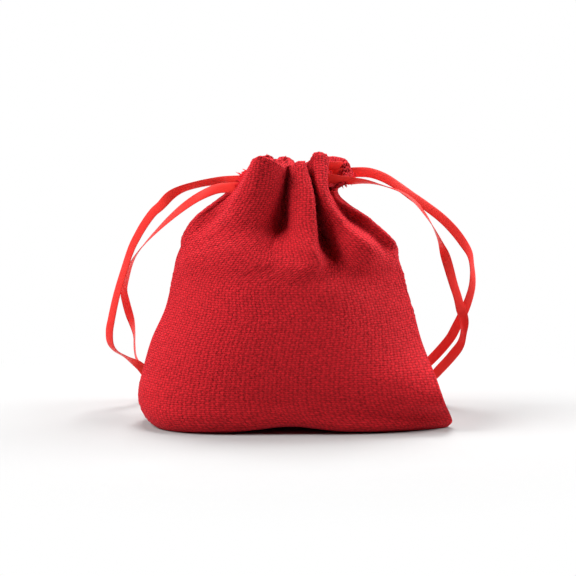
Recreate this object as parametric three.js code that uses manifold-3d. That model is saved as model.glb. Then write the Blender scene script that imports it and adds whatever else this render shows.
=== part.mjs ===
// Small drawstring pouch of coarse linen, filled and drawn nearly shut, standing on its base.
// Two satin ribbons run through the gathered casing, one from each side.
// Millimetres, +Z up. The front faces -Y. The origin is the middle of the base.

import * as THREE from 'three';
import Module from 'manifold-3d';

const wasm = await Module();
wasm.setup();
const { clamp, degToRad, euclideanModulo, lerp, radToDeg, smoothstep } = THREE.MathUtils;

// Driving dimensions of the filled bag
const BAG_HEIGHT = 79.5; // base to the lowest point of the gathered rim
const BASE_WIDTH = 92.2; // corner to corner, at the side seams
const BELLY_DEPTH = 50.0; // front to back where the bag bulges most
const BASE_DEPTH = 34.0; // front to back of the flat spot it stands on
const CLOTH = 1.0; // thickness of the loose weave

// Driving dimensions of the gathered neck
const NECK_LEFT = 17.4; // reach of the neck to the left of the base's middle
const NECK_RIGHT = 12.5; // and to the right, as the neck is drawn off centre
const NECK_DEPTH = 22.6; // front to back over the pleats
const RIM_DRAWN_IN = 5.2; // how far the left end of the casing leans in at the rim
const PLEAT_RISE = 2.2; // how far the tops of the pleats stand above the valleys
const CASING_HEIGHT = 11.5; // stitch line to rim
const SLIT_WIDTH = 6.0; // opening at each side seam, between the two casings

// Driving dimensions of the ribbons
const RIBBON_WIDTH = 3.0;
const RIBBON_THICK = 0.4;
const RIBBON_GAP = 0.8; // between the two ribbons, one above the other in the casing
const LOOP_WIDTH = 19.0; // the drawn-up ribbon inside the casing, side to side
const LOOP_DEPTH = 10.4; // and front to back
const CLEARANCE = 0.5; // ribbon to cloth
const KNOT_SIZE = new THREE.Vector3(5.6, 4.8, 3.4);
const FREE_END = 10.0; // ribbon left past the knot
const END_SPLAY_DEG = 24; // each free end's turn away from the knot's axis

// Places that follow from the sizes above
const STITCH_Z = BAG_HEIGHT - CASING_HEIGHT;
const TUNNEL_FLOOR = STITCH_Z + CLOTH;
const TUNNEL_ROOF = BAG_HEIGHT - CLOTH;
const TUNNEL_MIDDLE = (TUNNEL_FLOOR + TUNNEL_ROOF) / 2;
const RIBBON_STEP = (RIBBON_WIDTH + RIBBON_GAP) / 2;
const NECK_MIDDLE = (NECK_RIGHT - NECK_LEFT) / 2;
const HEM_OUTER = RIBBON_THICK / 2 + CLEARANCE; // casing's inner wall, in from the ribbon's loop
const HEM_INNER = HEM_OUTER + CLOTH;

// Facets
const AROUND = 64;
const ROWS_BELOW_STITCH = 18;
const ROWS_IN_CASING = 4;
const RIBBON_STEPS = 2; // between two points of a ribbon's route
const LOOP_STEP_DEG = 20;
const KNOT_AROUND = 14;
const KNOT_ROWS = 10;
const ROW_CROWDING = 1.5; // over 1 puts more rows near the base, where the cloth turns under
const MERGE_STEP = 1e-4; // corners nearer than this are one

// The soft form from base to neck. Each row: height as a share of the stitch line's, then how far the left,
// the right and the front have spread from neck size (0) to full size (1), then how round the section is,
// from a blunt lens with a corner at each side seam (0) to an ellipse (1).
const FORM = [
  [0.00, 0.80, 0.91, 0.50, 0.0],
  [0.02, 0.92, 0.98, 0.72, 0.0],
  [0.06, 0.98, 1.00, 0.88, 0.0],
  [0.13, 1.00, 0.91, 0.98, 0.1],
  [0.25, 0.92, 0.80, 1.00, 0.3],
  [0.40, 0.79, 0.70, 0.94, 0.5],
  [0.55, 0.64, 0.64, 0.80, 0.8],
  [0.70, 0.56, 0.57, 0.62, 1.0],
  [0.82, 0.51, 0.46, 0.42, 1.0],
  [0.91, 0.44, 0.28, 0.24, 1.0],
  [0.97, 0.32, 0.14, 0.12, 1.0],
  [1.03, 0.10, 0.02, 0.03, 1.0],
  [1.08, 0.00, 0.00, 0.00, 1.0],
];
const LENS_BLUNTNESS = 5;

// Valleys between the pleats: angle round the neck, angle where the valley dies out lower down, how far it
// reaches in towards the ribbons (1 is as far as they allow), and half-width. Angles are in degrees.
const VALLEYS = [
  { neck: -87, low: -98, reach: 0.92, width: 10 },
  { neck: -46, low: -70, reach: 0.92, width: 11 },
  { neck: 44, low: 62, reach: 0.75, width: 11 },
  { neck: 90, low: 92, reach: 0.85, width: 11 },
  { neck: 132, low: 120, reach: 0.75, width: 11 },
];
const PLEATS_START = 0.6; // share of the stitch line's height where the pleats begin
const PLEATS_FULL = 0.97;

// Each ribbon tail from its slit to its knot: x, y, z, and how far it is turned about its own length,
// in degrees from facing the front. The first points leave the slit and the last lie on the ground.
const LEFT_BACK_TAIL = [
  [-16.7, 2.0, 73.0, 5],
  [-21.6, 3.5, 72.7, 25],
  [-28.2, 5.5, 71.4, 40],
  [-34.2, 7.0, 69.5, 35],
  [-37.3, 8.0, 67.6, 10],
  [-40.4, 9.2, 64.4, -22],
  [-42.6, 10.2, 62.4, -25],
  [-45.4, 11.5, 58.6, -20],
  [-47.7, 13.0, 54.7, -12],
  [-49.6, 14.3, 50.9, -5],
  [-52.3, 17.0, 43.2, 0],
  [-54.7, 19.3, 35.4, 2],
  [-56.5, 21.3, 27.6, 0],
  [-57.2, 22.4, 23.7, -5],
  [-57.0, 24.0, 19.7, -25],
  [-55.6, 25.3, 17.3, -60],
  [-52.4, 27.3, 15.0, -78],
  [-48.2, 29.7, 11.7, -45],
  [-45.2, 31.5, 7.6, -45],
  [-40.5, 33.2, 3.6, -65],
  [-35.0, 34.6, 1.4, -85],
  [-29.5, 35.6, 0.9, -90],
  [-24.0, 36.4, 1.6, -90],
];
const LEFT_FRONT_TAIL = [
  [-18.0, -1.6, 71.2, -5],
  [-23.0, -0.6, 70.6, -20],
  [-28.2, 2.4, 68.1, -35],
  [-33.0, 6.0, 64.7, -45],
  [-37.6, 9.0, 60.7, -60],
  [-41.6, 11.7, 56.7, -75],
  [-45.1, 14.0, 52.8, -88],
  [-48.0, 17.0, 46.9, -105],
  [-50.4, 19.8, 40.4, -125],
  [-51.4, 21.4, 36.4, -132],
  [-51.2, 22.8, 33.0, -138],
  [-50.5, 24.4, 29.0, -138],
  [-50.0, 25.5, 26.3, -128],
  [-49.5, 27.0, 22.4, -105],
  [-49.4, 28.8, 17.5, -100],
  [-48.6, 31.0, 13.4, -100],
  [-46.3, 33.3, 9.2, -95],
  [-42.0, 35.3, 5.4, -92],
  [-36.5, 36.8, 2.9, -90],
  [-30.5, 37.4, 2.0, -90],
  [-24.0, 37.0, 2.2, -90],
];
const RIGHT_BACK_TAIL = [
  [12.8, 2.0, 75.8, 5],
  [17.3, 3.4, 76.2, 18],
  [22.8, 5.6, 75.6, 32],
  [27.4, 7.8, 73.3, 28],
  [32.0, 10.2, 70.0, 42],
  [35.8, 12.0, 67.1, 32],
  [39.8, 13.4, 64.2, 14],
  [45.1, 15.2, 60.0, 2],
  [48.9, 16.7, 56.1, -2],
  [51.8, 18.1, 52.3, 12],
  [54.1, 19.2, 48.5, 45],
  [54.7, 20.2, 44.6, 66],
  [54.8, 21.4, 40.1, 66],
  [54.4, 22.4, 36.8, 58],
  [53.0, 23.6, 32.2, 45],
  [50.9, 24.6, 28.3, 36],
  [49.1, 25.6, 25.0, 34],
  [47.7, 26.8, 21.0, 36],
  [46.2, 27.8, 19.0, 42],
  [42.6, 29.8, 14.9, 50],
  [39.0, 32.0, 10.6, 55],
  [34.0, 34.4, 6.4, 65],
  [28.5, 36.0, 3.4, 80],
  [22.0, 37.0, 2.2, 90],
];
const RIGHT_FRONT_TAIL = [
  [12.4, -1.6, 75.2, -5],
  [16.8, -0.8, 73.6, -20],
  [21.2, 0.8, 73.0, -45],
  [24.9, 2.4, 71.9, -75],
  [28.8, 4.4, 70.7, -88],
  [32.5, 6.2, 69.2, -105],
  [36.5, 8.2, 66.1, -125],
  [39.4, 9.8, 62.3, -115],
  [41.6, 11.4, 58.5, -95],
  [44.2, 13.4, 52.8, -62],
  [46.2, 15.4, 47.0, -30],
  [48.6, 17.9, 39.2, -12],
  [49.9, 18.9, 35.3, -10],
  [50.9, 19.9, 31.5, -15],
  [52.2, 20.9, 27.6, -32],
  [52.1, 21.9, 23.7, -20],
  [51.6, 23.3, 19.7, 10],
  [49.3, 25.8, 15.4, 38],
  [46.4, 28.6, 10.5, 45],
  [42.4, 31.2, 5.6, 60],
  [37.0, 33.4, 2.3, 78],
  [31.0, 35.0, 1.0, 88],
  [25.5, 36.0, 0.9, 90],
  [22.0, 36.4, 1.6, 90],
];

const LINEN = { color: 0xbe1a2b, roughness: 0.95, metalness: 0.0 };
const SATIN = { color: 0xde2d26, roughness: 0.4, metalness: 0.0 };

// Closed solid through a stack of rings that all have as many points, with a fan over each end.
function loft(rings) {
  const count = rings[0].length;
  const points = rings.flat();
  const ends = [rings[0], rings[rings.length - 1]].map(middleOf);
  points.push(...ends);
  const first = points.length - 2;
  const last = points.length - 1;
  const top = (rings.length - 1) * count;
  const triangles = [];
  for (let j = 0; j < count; j += 1) {
    const next = (j + 1) % count;
    triangles.push(first, next, j);
    triangles.push(last, top + j, top + next);
    for (let i = 0; i < rings.length - 1; i += 1) {
      const below = i * count;
      const above = below + count;
      triangles.push(below + j, below + next, above + next);
      triangles.push(below + j, above + next, above + j);
    }
  }
  return toSolid(points.flatMap((p) => p.toArray()), triangles);
}

function middleOf(ring) {
  const sum = ring.reduce((total, p) => total.add(p), new THREE.Vector3());
  return sum.divideScalar(ring.length);
}

function toSolid(positions, triangles) {
  return new wasm.Manifold(new wasm.Mesh({
    numProp: 3,
    vertProperties: new Float32Array(positions),
    triVerts: new Uint32Array(triangles),
  }));
}

// A three.js geometry with its shared vertices merged by place, as a solid.
function solidFrom(geometry) {
  const place = geometry.getAttribute('position');
  const found = new Map();
  const positions = [];
  const number = (i) => {
    const p = [place.getX(i), place.getY(i), place.getZ(i)];
    const key = p.map((v) => Math.round(v / MERGE_STEP)).join();
    if (!found.has(key)) {
      found.set(key, positions.length / 3);
      positions.push(...p);
    }
    return found.get(key);
  };
  const corners = Array.from(geometry.index.array, number);
  const triangles = [];
  for (let i = 0; i < corners.length; i += 3) {
    const [a, b, c] = corners.slice(i, i + 3);
    if (a !== b && b !== c && c !== a) {
      triangles.push(a, b, c);
    }
  }
  return toSolid(positions, triangles);
}

function geometryOf(solid) {
  const mesh = solid.getMesh();
  const geometry = new THREE.BufferGeometry();
  geometry.setAttribute('position', new THREE.BufferAttribute(mesh.vertProperties, 3));
  geometry.setIndex(new THREE.BufferAttribute(mesh.triVerts, 1));
  geometry.computeVertexNormals();
  return geometry;
}

function box(x0, x1, y0, y1, z0, z1) {
  const geometry = new THREE.BoxGeometry(x1 - x0, y1 - y0, z1 - z0);
  geometry.translate((x0 + x1) / 2, (y0 + y1) / 2, (z0 + z1) / 2);
  return solidFrom(geometry);
}

// Upright oval prism round the neck's middle.
function ovalPrism(halfWidth, halfDepth, z0, z1) {
  const ring = (z) => ringOf((turn) => new THREE.Vector3(
    NECK_MIDDLE + halfWidth * Math.cos(turn),
    halfDepth * Math.sin(turn),
    z,
  ));
  return loft([ring(z0), ring(z1)]);
}

function ringOf(pointAt) {
  return Array.from({ length: AROUND }, (_, j) => pointAt((2 * Math.PI * j) / AROUND));
}

// The form's row at a height, on a smooth curve through the rows of FORM.
function formAt(share) {
  let i = FORM.findIndex((row) => row[0] > share);
  if (i < 0) {
    return FORM[FORM.length - 1];
  }
  i = Math.max(i, 1);
  const row = (k) => FORM[clamp(k, 0, FORM.length - 1)];
  const t = (share - row(i - 1)[0]) / (row(i)[0] - row(i - 1)[0]);
  return row(i).map((_, column) => {
    const slope = (k) => (row(k + 1)[column] - row(k - 1)[column]) / (row(k + 1)[0] - row(k - 1)[0]);
    const span = row(i)[0] - row(i - 1)[0];
    const a = row(i - 1)[column];
    const b = row(i)[column];
    const rise = t * t * (3 - 2 * t);
    const leave = t * (1 - t) * (1 - t) * span * slope(i - 1);
    const arrive = t * t * (t - 1) * span * slope(i);
    return a + (b - a) * rise + leave + arrive;
  });
}

// How deep a valley can go at the neck before its cloth meets the ribbons in the casing.
function roomAbove(valley) {
  const turn = degToRad(valley.neck);
  const x = ((NECK_LEFT + NECK_RIGHT) / 2) * Math.cos(turn);
  const y = (NECK_DEPTH / 2) * Math.sin(turn);
  const neckRadius = Math.hypot(x, y);
  const keepOff = HEM_OUTER + CLOTH;
  const loopX = LOOP_WIDTH / 2 + keepOff;
  const loopY = LOOP_DEPTH / 2 + keepOff;
  const loopRadius = neckRadius / Math.hypot(x / loopX, y / loopY);
  return neckRadius - loopRadius;
}

// How deep the valleys between the pleats cut at an angle round the bag, from 0 at a pleat's top.
function valleyAt(turn, share) {
  const strength = smoothstep(share, PLEATS_START, PLEATS_FULL);
  const degrees = radToDeg(turn);
  return VALLEYS.reduce((deepest, valley) => {
    const angle = lerp(valley.low, valley.neck, strength);
    const off = euclideanModulo(degrees - angle + 180, 360) - 180;
    const cut = roomAbove(valley) * valley.reach * strength * Math.exp(-((off / valley.width) ** 2));
    return Math.max(deepest, cut);
  }, 0);
}

// Outside of the bag at one height: a lens or ellipse with the pleats' valleys drawn in.
function outline(z) {
  const share = z / STITCH_Z;
  const [, left, right, front, round] = formAt(share);
  const rimShare = clamp((z - TUNNEL_FLOOR) / (BAG_HEIGHT - TUNNEL_FLOOR), 0, 1);
  const reachLeft = lerp(NECK_LEFT, BASE_WIDTH / 2, left) - RIM_DRAWN_IN * rimShare;
  const reachRight = lerp(NECK_RIGHT, BASE_WIDTH / 2, right);
  const spreadDepth = z > 0 ? lerp(NECK_DEPTH, BELLY_DEPTH, front) : BASE_DEPTH;
  const middle = (reachRight - reachLeft) / 2;
  const half = (reachRight + reachLeft) / 2;
  return ringOf((turn) => {
    const across = Math.cos(turn);
    const lens = 1 - Math.abs(across) ** LENS_BLUNTNESS;
    const ellipse = Math.sqrt(Math.max(0, 1 - across * across));
    const deep = lerp(lens, ellipse, round) * Math.sign(Math.sin(turn));
    const place = new THREE.Vector3(middle + half * across, (spreadDepth / 2) * deep, z);
    const inwards = new THREE.Vector3(NECK_MIDDLE, 0, z).sub(place).normalize();
    return place.addScaledVector(inwards, valleyAt(turn, share));
  });
}

// The same outline moved in by the thickness of the cloth.
function inset(ring) {
  return ring.map((p, j) => {
    const before = ring[(j + ring.length - 1) % ring.length];
    const after = ring[(j + 1) % ring.length];
    const along = after.clone().sub(before).normalize();
    return new THREE.Vector3(p.x - CLOTH * along.y, p.y + CLOTH * along.x, p.z);
  });
}

function levels(z0, z1, count) {
  return Array.from({ length: count + 1 }, (_, i) => lerp(z0, z1, i / count));
}

// Levels that crowd towards the base.
function levelsFromBase(z0, z1, count) {
  return levels(0, 1, count).map((t) => lerp(z0, z1, t ** ROW_CROWDING));
}

// The rim rises over each pleat and dips in each valley.
function rimRing() {
  return outline(BAG_HEIGHT).map((p, j) => {
    const dip = valleyAt((2 * Math.PI * j) / AROUND, 1) / roomAbove(VALLEYS[0]);
    return new THREE.Vector3(p.x, p.y, BAG_HEIGHT + PLEAT_RISE * (1 - Math.min(1, dip)));
  });
}

// Bag and casing in one: the full form less its inside, the ribbon tunnel, the mouth and the side slits.
function pouchBody() {
  const below = levelsFromBase(0, STITCH_Z, ROWS_BELOW_STITCH).map(outline);
  const casing = levels(TUNNEL_FLOOR, TUNNEL_ROOF, ROWS_IN_CASING).map(outline);
  const outside = loft([...below, ...casing, rimRing()]);
  const inside = loft(levelsFromBase(CLOTH, STITCH_Z, ROWS_BELOW_STITCH).map(outline).map(inset));
  const loopX = LOOP_WIDTH / 2;
  const loopY = LOOP_DEPTH / 2;
  const top = BAG_HEIGHT + 2 * PLEAT_RISE;
  const hem = ovalPrism(loopX - HEM_OUTER, loopY - HEM_OUTER, 0, top);
  const mouth = ovalPrism(loopX - HEM_INNER, loopY - HEM_INNER, STITCH_Z - CLOTH, top);
  const tunnel = loft(casing.map(inset)).subtract(hem);
  const slits = box(-BASE_WIDTH / 2, BASE_WIDTH / 2, -SLIT_WIDTH / 2, SLIT_WIDTH / 2, TUNNEL_FLOOR, top);
  return outside.subtract(inside).subtract(tunnel).subtract(mouth).subtract(slits);
}

// Where a ribbon's width points, from its direction and how far it is turned from facing the front.
function widthAlong(direction, degrees) {
  const toBack = new THREE.Vector3(0, 1, 0);
  const flat = direction.clone().cross(toBack).normalize();
  const deep = toBack.addScaledVector(direction, -direction.y).normalize();
  const turn = degToRad(degrees);
  return flat.multiplyScalar(Math.cos(turn)).addScaledVector(deep, Math.sin(turn));
}

// A tail's points with the ribbon's width at each.
function tailStations(tail) {
  const points = tail.map(([x, y, z]) => new THREE.Vector3(x, y, z));
  return points.map((place, i) => {
    const before = points[Math.max(i - 1, 0)];
    const after = points[Math.min(i + 1, points.length - 1)];
    const direction = after.clone().sub(before).normalize();
    return { place, width: widthAlong(direction, tail[i][3]) };
  });
}

// The ribbon inside the casing: an open oval from the back of its slit round to the front. Side is -1 for
// the left slit and 1 for the right.
function loopStations(side, z) {
  const openDeg = 2 * LOOP_STEP_DEG;
  const count = (360 - 2 * openDeg) / LOOP_STEP_DEG;
  return levels(openDeg, 360 - openDeg, count).map((degrees) => {
    const turn = degToRad(degrees);
    const x = NECK_MIDDLE + (side * LOOP_WIDTH * Math.cos(turn)) / 2;
    const y = (LOOP_DEPTH * Math.sin(turn)) / 2;
    return { place: new THREE.Vector3(x, y, z), width: new THREE.Vector3(0, 0, side) };
  });
}

// Flat strip with a rectangular section carried along a smooth curve through its stations.
function strip(stations) {
  const curve = new THREE.CatmullRomCurve3(stations.map((s) => s.place), false, 'centripetal');
  const spans = stations.length - 1;
  const steps = spans * RIBBON_STEPS;
  const rings = levels(0, 1, steps).map((t) => {
    const index = Math.min(Math.floor(t * spans), spans - 1);
    const along = curve.getTangent(t);
    const width = stations[index].width.clone().lerp(stations[index + 1].width, t * spans - index);
    width.addScaledVector(along, -width.dot(along)).setLength(RIBBON_WIDTH / 2);
    const thick = along.clone().cross(width).setLength(RIBBON_THICK / 2);
    const corner = (w, n) => curve.getPoint(t).addScaledVector(width, w).addScaledVector(thick, n);
    return [corner(1, -1), corner(1, 1), corner(-1, 1), corner(-1, -1)];
  });
  return loft(rings);
}

// Tight overhand knot where the two ends of a ribbon are tied together, with the ends past it.
function knot(middle, side) {
  const ball = new THREE.SphereGeometry(0.5, KNOT_AROUND, KNOT_ROWS);
  ball.scale(...KNOT_SIZE.toArray());
  ball.translate(...middle.toArray());
  const ends = [-1, 1].map((way) => {
    const turn = degToRad(way * END_SPLAY_DEG);
    const direction = new THREE.Vector3(-side * Math.cos(turn), Math.sin(turn), 0);
    const width = new THREE.Vector3(-direction.y, direction.x, 0);
    const reach = FREE_END + KNOT_SIZE.x / 2;
    const lying = RIBBON_THICK + CLEARANCE + (way > 0 ? RIBBON_THICK : 0);
    const stations = levels(0, 1, 4).map((share) => {
      const place = middle.clone().addScaledVector(direction, share * reach);
      place.z = lerp(middle.z, lying, smoothstep(share, 0, 0.5));
      return { place, width };
    });
    return strip(stations);
  });
  return ends.reduce((sum, end) => sum.add(end), solidFrom(ball));
}

// One ribbon: up its back tail, through the casing, down its front tail, with both ends in one knot.
function drawstring(backTail, frontTail, side, z) {
  const back = tailStations(backTail).reverse();
  const front = tailStations(frontTail);
  const knotMiddle = back[0].place.clone().lerp(front[front.length - 1].place, 0.5);
  knotMiddle.z = KNOT_SIZE.z / 2 + CLEARANCE;
  const ribbon = strip([...back, ...loopStations(side, z), ...front]);
  return ribbon.add(knot(knotMiddle, side));
}

function piece(name, solid, finish) {
  const mesh = new THREE.Mesh(geometryOf(solid), new THREE.MeshStandardMaterial(finish));
  mesh.name = name;
  return mesh;
}

const leftRibbon = drawstring(LEFT_BACK_TAIL, LEFT_FRONT_TAIL, -1, TUNNEL_MIDDLE - RIBBON_STEP);
const rightRibbon = drawstring(RIGHT_BACK_TAIL, RIGHT_FRONT_TAIL, 1, TUNNEL_MIDDLE + RIBBON_STEP);

const group = new THREE.Group();
group.name = 'drawstring_pouch';
group.add(piece('pouch_body', pouchBody(), LINEN));
group.add(piece('left_drawstring', leftRibbon, SATIN));
group.add(piece('right_drawstring', rightRibbon, SATIN));

export default group;
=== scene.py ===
"""Small drawstring pouch of coarse red linen, drawn nearly shut by two satin ribbons, as a Blender add-on.

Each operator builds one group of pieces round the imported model, in metres, +Z up, with the front facing -Y.
"""

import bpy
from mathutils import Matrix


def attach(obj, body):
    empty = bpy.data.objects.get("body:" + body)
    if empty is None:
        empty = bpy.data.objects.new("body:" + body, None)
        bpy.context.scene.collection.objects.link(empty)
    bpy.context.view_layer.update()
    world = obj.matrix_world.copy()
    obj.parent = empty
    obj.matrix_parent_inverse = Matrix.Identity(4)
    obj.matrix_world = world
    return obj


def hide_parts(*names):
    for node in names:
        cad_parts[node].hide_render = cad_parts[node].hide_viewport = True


bl_info = {
    "name": "Linen drawstring pouch",
    "version": (1, 0, 0),
    "blender": (4, 5, 0),
    "location": "3D View > Sidebar > Pouch",
    "description": "Builds a gathered linen pouch with two satin drawstrings on a pale floor",
    "category": "Add Mesh",
}

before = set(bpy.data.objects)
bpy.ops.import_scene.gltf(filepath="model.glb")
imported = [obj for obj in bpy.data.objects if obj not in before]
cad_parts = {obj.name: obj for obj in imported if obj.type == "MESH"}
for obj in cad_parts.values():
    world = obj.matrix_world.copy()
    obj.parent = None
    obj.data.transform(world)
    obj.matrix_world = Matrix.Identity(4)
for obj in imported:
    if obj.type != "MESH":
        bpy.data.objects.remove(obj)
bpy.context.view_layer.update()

import math

import bmesh
import bpy
import numpy as np
from bpy.props import FloatProperty, FloatVectorProperty, IntProperty, PointerProperty
from bpy.types import Operator, Panel, PropertyGroup
from mathutils import Vector

MM = 0.001
BODY = "root"
CLOTH_UV = "cloth_mm"
RIBBON_UV = "ribbon_mm"

# The cloth is two panels cut as one sheet, folded at the bottom. Places across a panel are given in
# millimetres of cloth from the left side seam of the front, and rows up a panel in millimetres from the fold.
PANEL_WIDTH = 104.0
RIM_ROW = 103.5
STITCH_ROW = 92.0
# Lumps of the uneven yarn: how far they stand in or out, and the heights between which they begin.
LUMP = 0.09
LUMP_HEIGHTS = (0.6, 2.6)
# Seed of the random draws for the lumps and the loose yarns.
DRAW_SEED = 11
# Lowest height of the cloth, points along a bag's section, and points round the rim's roll.
FLOOR_GAP = 0.12
SECTION_POINTS = 600
ROLL_POINTS = 9
# Where the back's weave begins beside the front's, and how close points are that get sewn together.
BACK_WEAVE = PANEL_WIDTH + 3.0
SEWN_WITHIN = 0.02

# Rows of the filled bag, up to where the gathers begin: row, height, left end, right end, depth of the front,
# depth of the back, how blunt the left end and the right end are (power and root of a rounded lens), how far
# in front of each end its side seam lies, then how far forward the left end and the right end lie.
BAG_ROWS = [
    (0.0, 0.15, -40.0, 44.9, 0.0, 0.0, 6.0, 0.40, 2.4, 0.90, 0.0, 0.0, 2.0, 10.0),
    (10.0, 0.12, -40.6, 45.3, 10.2, 9.0, 6.0, 0.40, 2.4, 0.90, 0.0, 0.0, 2.0, 10.0),
    (17.0, 0.15, -42.0, 45.8, 18.4, 15.5, 6.0, 0.40, 2.4, 0.90, 0.0, 0.0, 2.0, 10.0),
    (20.5, 1.8, -44.4, 47.2, 21.8, 18.0, 4.4, 0.50, 2.4, 0.90, 0.0, 0.0, 2.5, 10.0),
    (24.0, 5.2, -46.2, 46.1, 22.4, 19.8, 4.2, 0.50, 2.0, 1.00, 0.0, 0.0, 2.5, 14.0),
    (28.0, 9.0, -46.9, 44.5, 22.4, 21.3, 3.6, 0.56, 2.0, 1.00, 0.0, 0.0, 2.0, 19.0),
    (35.0, 16.0, -45.5, 42.0, 23.2, 22.8, 3.0, 0.66, 2.2, 1.00, 0.0, 0.0, 1.0, 16.5),
    (44.0, 25.0, -42.9, 38.3, 23.8, 23.4, 3.1, 0.84, 2.2, 0.95, 0.0, 0.0, 0.0, 6.5),
    (53.6, 34.5, -38.7, 35.9, 23.2, 22.8, 3.2, 0.94, 2.1, 0.95, 0.0, 0.5, 0.0, 1.5),
    (63.6, 45.0, -36.4, 33.0, 21.2, 21.0, 2.9, 0.90, 2.0, 0.90, 0.5, 2.5, 0.0, 0.0),
]

# The front's lower edge is lifted: row and share of the lift, then its height, middle and spread along x.
LIFT_SHARES = [(0, 0.0), (10, 0.3), (16, 1.0), (20, 0.9), (24, 0.5), (32, 0.0)]
LIFT_HEIGHT = 1.8
LIFT_MIDDLE = -1.0
LIFT_SPREAD = 11.0

# Folds of the gathered front at five rows. Each point: place across the cloth, then x, y and z.
FRONT_LOW = [
    (0, -35.2, 0.0, 50), (8, -32.4, -6.6, 50), (16, -26.8, -12.2, 50), (24, -19.6, -17.0, 50),
    (32, -11.6, -19.4, 50), (41, -4.4, -19.2, 50), (48, 0.6, -19.6, 50), (55, 5.0, -20.2, 50),
    (60, 7.8, -19.6, 50), (63.5, 9.0, -17.0, 50), (67, 10.0, -14.0, 50), (72, 11.8, -12.3, 50),
    (77, 14.2, -13.1, 50), (82, 17.2, -14.8, 50), (88, 21.8, -14.6, 50), (93, 25.2, -12.2, 50),
    (98, 28.2, -8.6, 50), (104, 30.6, -4.6, 50),
]
FRONT_SHOULDER = [
    (0, -32.8, -2.0, 55.2), (5, -30.8, -4.4, 55.0), (10, -27.8, -7.8, 55.0), (16, -23.4, -12.2, 54.8),
    (22, -18.2, -15.6, 54.5), (28, -12.6, -17.0, 54.5), (34, -8.8, -16.2, 54.5), (41, -5.6, -14.4, 54.5),
    (46, -2.6, -14.8, 54.5), (50, 0.0, -16.2, 54.5), (55, 3.6, -18.2, 54.5), (60, 6.4, -18.2, 54.5),
    (63, 7.5, -14.6, 54.5), (67, 7.7, -8.2, 54.5), (72, 9.4, -3.2, 54.5), (77, 11.7, -8.0, 54.8),
    (81, 13.6, -12.4, 54.9), (85, 16.4, -14.6, 55.0), (89, 19.4, -15.4, 55.2), (92.5, 22.0, -15.2, 55.4),
    (95, 23.5, -13.0, 55.5), (97.5, 24.1, -9.6, 55.6), (100.5, 25.0, -6.8, 55.7), (104, 27.0, -6.4, 55.8),
]
FRONT_SPREAD = [
    (0, -27.6, -1.4, 61.8), (3, -25.2, -2.4, 61.8), (5.5, -23.4, -4.2, 61.8), (8, -22.6, -7.0, 61.8),
    (10.5, -20.8, -9.4, 61.7), (14, -17.8, -11.2, 61.5), (20, -13.4, -11.8, 61.2), (26, -10.0, -10.6, 61.0),
    (30, -7.8, -8.4, 61.0), (35, -5.4, -4.8, 61.0), (41, -3.4, -1.8, 61.0), (46, -2.2, -4.6, 61.0),
    (50, -1.3, -8.6, 61.0), (54, 0.5, -12.0, 61.0), (58, 3.2, -14.2, 61.0), (61, 5.6, -15.0, 61.0),
    (63.5, 6.7, -12.8, 61.0), (67, 5.8, -6.2, 61.0), (72, 6.6, 1.0, 61.0), (78, 8.5, -4.6, 61.0),
    (84, 10.4, -8.8, 61.2), (89, 12.4, -11.2, 61.5), (92.5, 14.5, -11.8, 61.7), (94.5, 15.5, -10.4, 61.8),
    (96.5, 15.8, -7.7, 61.9), (99, 16.1, -4.9, 62.0), (101.5, 17.2, -3.6, 62.0), (104, 19.4, -4.1, 62.0),
]
FRONT_CASING = [
    (0, -18.2, -2.2, 70), (3, -17.5, -5.2, 70), (6, -16.6, -8.6, 70), (10, -14.0, -10.6, 70),
    (16, -10.6, -10.8, 70), (22, -7.4, -9.6, 70), (28, -5.0, -7.6, 70), (33, -3.6, -4.8, 70),
    (41, -2.3, 0.6, 70), (47, -1.6, -4.4, 70), (50, -1.0, -7.6, 70), (54, 0.8, -9.8, 70),
    (58, 3.0, -11.4, 70), (61, 5.1, -12.0, 70), (64, 5.9, -9.4, 70), (68, 4.6, -3.8, 70),
    (72, 4.6, 0.2, 70), (77, 6.2, -2.8, 70), (82, 6.6, -6.4, 70), (86, 7.2, -8.8, 70),
    (91, 8.4, -10.2, 70), (96, 9.7, -9.6, 70), (99, 10.5, -8.2, 70), (101.5, 10.6, -6.4, 70),
    (104, 10.5, -4.4, 70),
]
FRONT_RIM = [
    (0, -12.4, -4.8, 79.4), (3, -12.5, -6.8, 79.6), (6, -12.0, -9.2, 80.0), (10, -10.8, -11.0, 80.6),
    (16, -8.4, -11.4, 80.2), (22, -5.8, -10.4, 79.0), (28, -3.9, -8.4, 77.7), (33, -2.8, -6.4, 77.0),
    (41, -1.9, -3.6, 77.2), (47, -1.2, -4.0, 77.0), (50, -0.7, -4.6, 77.4), (54, 0.6, -5.4, 78.4),
    (58, 2.2, -6.0, 78.7), (61, 3.4, -6.0, 78.3), (64, 3.6, -4.8, 77.7), (68, 2.7, -3.4, 77.4),
    (72, 2.7, -2.4, 77.2), (77, 4.0, -2.6, 77.8), (82, 4.8, -3.2, 79.3), (86, 5.8, -3.4, 80.6),
    (91, 7.4, -3.4, 81.2), (96, 9.0, -2.9, 80.8), (99, 9.9, -2.6, 80.2), (101.5, 10.3, -2.4, 79.6),
    (104, 10.4, -2.0, 79.0),
]

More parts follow.
